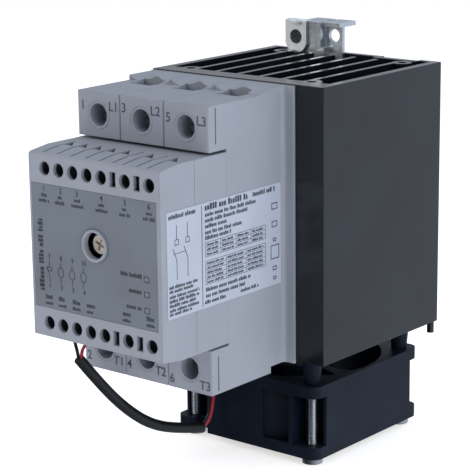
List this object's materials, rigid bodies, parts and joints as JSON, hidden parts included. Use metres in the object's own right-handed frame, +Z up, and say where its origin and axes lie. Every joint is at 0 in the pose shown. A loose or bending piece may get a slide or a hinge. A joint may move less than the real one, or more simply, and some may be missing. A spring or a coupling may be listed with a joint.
{
  "type": "solid state relay",
  "caption": "Multi-pole solid state relay with control module, finned heatsink, underslung cooling fan, fan cable, rail latch and mounting bracket.",
  "frame": {"origin": "middle of the footprint, on the surface that the fan's screw heads stand on", "axes": "+X to the object's right, +Y from the front panel to the mounting side, +Z up"},
  "size_m": [0.07, 0.1312, 0.1372],
  "materials": {
    "housing_plastic": "light grey moulded plastic, fine texture",
    "front_label_film": "mid grey printed film",
    "side_label_foil": "pale foil label",
    "anodised_black": "black anodised extrusion",
    "fan_plastic": "black moulded plastic",
    "zinc_steel": "bright zinc plated",
    "steel_dark": "blackened steel",
    "tinned_copper": "tin plated copper",
    "ceramic_white": "white ceramic",
    "epoxy_black": "black moulded epoxy",
    "board_green": "circuit board laminate",
    "relay_blue": "moulded relay case",
    "coil_yellow": "taped winding",
    "capacitor_sleeve": "shrink sleeve",
    "varistor_blue": "dipped coating",
    "terminal_plastic": "dark moulded terminal strip",
    "dial_cream": "cream moulded plastic",
    "lamp_clear": "clear light pipe",
    "magnet_ferrite": "bonded ferrite",
    "cable_black": "black sleeve",
    "lead_black": "black insulation",
    "lead_red": "red insulation"
  },
  "bodies": {
    "chassis": {"auxiliary_relays": "relay_blue", "board_connector": "epoxy_black", "bracket_screws": "zinc_steel", "capacitors": "capacitor_sleeve", "ceramic_plates": "ceramic_white", "control_board": "board_green", "control_case": "housing_plastic", "control_cover": "housing_plastic", "control_terminal_screws": "zinc_steel", "control_terminal_sleeves": "zinc_steel", "control_terminal_strips": "terminal_plastic", "driver_board": "board_green", "earth_clamp": "zinc_steel", "fan_bearings": "zinc_steel", "fan_cable_sleeve": "cable_black", "fan_frame": "fan_plastic", "fan_lead_black": "lead_black", "fan_lead_red": "lead_red", "fan_screws": "zinc_steel", "fan_spacers": "fan_plastic", "fan_stator": "steel_dark", "front_label": "front_label_film", "gate_optocouplers": "epoxy_black", "heatsink": "anodised_black", "housing_screws": "zinc_steel", "indicator_leds": "lamp_clear", "latch_guide": "anodised_black", "latch_spring": "zinc_steel", "light_pipes": "lamp_clear", "locating_pins": "steel_dark", "microcontroller": "epoxy_black", "mounting_bracket": "zinc_steel", "pole_housing_left": "housing_plastic", "pole_housing_middle": "housing_plastic", "pole_housing_right": "housing_plastic", "potentiometer_body": "relay_blue", "power_busbars": "tinned_copper", "rail_hook": "anodised_black", "side_label": "side_label_foil", "supply_transformer": "coil_yellow", "thyristor_modules": "epoxy_black", "varistors": "varistor_blue"},
    "fan_rotor": {"fan_rotor": "fan_plastic", "fan_shaft": "zinc_steel", "rotor_magnet": "magnet_ferrite"},
    "dial": {"potentiometer_dial": "dial_cream"},
    "rail_latch": {"rail_latch": "zinc_steel"},
    "earth_screw": {"earth_screw": "steel_dark"},
    "line_screw_1": {"line_screw_1": "zinc_steel"},
    "line_clamp_1": {"line_clamp_1": "zinc_steel"},
    "line_screw_2": {"line_screw_2": "zinc_steel"},
    "line_clamp_2": {"line_clamp_2": "zinc_steel"},
    "line_screw_3": {"line_screw_3": "zinc_steel"},
    "line_clamp_3": {"line_clamp_3": "zinc_steel"},
    "load_screw_1": {"load_screw_1": "zinc_steel"},
    "load_clamp_1": {"load_clamp_1": "zinc_steel"},
    "load_screw_2": {"load_screw_2": "zinc_steel"},
    "load_clamp_2": {"load_clamp_2": "zinc_steel"},
    "load_screw_3": {"load_screw_3": "zinc_steel"},
    "load_clamp_3": {"load_clamp_3": "zinc_steel"}
  },
  "joints": [
    {"name": "fan_spin", "type": "hinge", "parent": "chassis", "child": "fan_rotor", "pos_m": [0, 0.0275, 0.014], "axis": [0, 0, 1], "continuous": true},
    {"name": "dial_turn", "type": "hinge", "parent": "chassis", "child": "dial", "pos_m": [-0.0067, -0.0605, 0.0822], "axis": [0, 1, 0], "range_deg": [-135, 135]},
    {"name": "latch_slide", "type": "slide", "parent": "chassis", "child": "rail_latch", "axis": [0, 0, -1], "range_m": [0, 0.005], "stiffness_N_per_m": 900, "springref_m": -0.004, "deforming": ["latch_spring"]},
    {"name": "earth_screw_turn", "type": "hinge", "parent": "chassis", "child": "earth_screw", "pos_m": [-0.0224, 0.0582, 0.1312], "axis": [0, 1, 0], "range_deg": [-1080, 0]},
    {"name": "line_screw_1_turn", "type": "hinge", "parent": "chassis", "child": "line_screw_1", "pos_m": [-0.025, -0.0325, 0.1174], "axis": [0, 1, 0], "range_deg": [0, 1440]},
    {"name": "line_clamp_1_slide", "type": "slide", "parent": "chassis", "child": "line_clamp_1", "axis": [0, -1, 0], "range_m": [0, 0.0028]},
    {"name": "line_screw_2_turn", "type": "hinge", "parent": "chassis", "child": "line_screw_2", "pos_m": [-0.007, -0.0325, 0.1174], "axis": [0, 1, 0], "range_deg": [0, 1440]},
    {"name": "line_clamp_2_slide", "type": "slide", "parent": "chassis", "child": "line_clamp_2", "axis": [0, -1, 0], "range_m": [0, 0.0028]},
    {"name": "line_screw_3_turn", "type": "hinge", "parent": "chassis", "child": "line_screw_3", "pos_m": [0.011, -0.0325, 0.1174], "axis": [0, 1, 0], "range_deg": [0, 1440]},
    {"name": "line_clamp_3_slide", "type": "slide", "parent": "chassis", "child": "line_clamp_3", "axis": [0, -1, 0], "range_m": [0, 0.0028]},
    {"name": "load_screw_1_turn", "type": "hinge", "parent": "chassis", "child": "load_screw_1", "pos_m": [-0.025, -0.0325, 0.041], "axis": [0, 1, 0], "range_deg": [0, 1440]},
    {"name": "load_clamp_1_slide", "type": "slide", "parent": "chassis", "child": "load_clamp_1", "axis": [0, -1, 0], "range_m": [0, 0.0028]},
    {"name": "load_screw_2_turn", "type": "hinge", "parent": "chassis", "child": "load_screw_2", "pos_m": [-0.007, -0.0325, 0.041], "axis": [0, 1, 0], "range_deg": [0, 1440]},
    {"name": "load_clamp_2_slide", "type": "slide", "parent": "chassis", "child": "load_clamp_2", "axis": [0, -1, 0], "range_m": [0, 0.0028]},
    {"name": "load_screw_3_turn", "type": "hinge", "parent": "chassis", "child": "load_screw_3", "pos_m": [0.011, -0.0325, 0.041], "axis": [0, 1, 0], "range_deg": [0, 1440]},
    {"name": "load_clamp_3_slide", "type": "slide", "parent": "chassis", "child": "load_clamp_3", "axis": [0, -1, 0], "range_m": [0, 0.0028]}
  ],
  "couplings": [
    {"joint": "line_screw_1_turn", "follows": "line_clamp_1_slide", "rad_per_m": 8976},
    {"joint": "line_screw_2_turn", "follows": "line_clamp_2_slide", "rad_per_m": 8976},
    {"joint": "line_screw_3_turn", "follows": "line_clamp_3_slide", "rad_per_m": 8976},
    {"joint": "load_screw_1_turn", "follows": "load_clamp_1_slide", "rad_per_m": 8976},
    {"joint": "load_screw_2_turn", "follows": "load_clamp_2_slide", "rad_per_m": 8976},
    {"joint": "load_screw_3_turn", "follows": "load_clamp_3_slide", "rad_per_m": 8976}
  ]
}
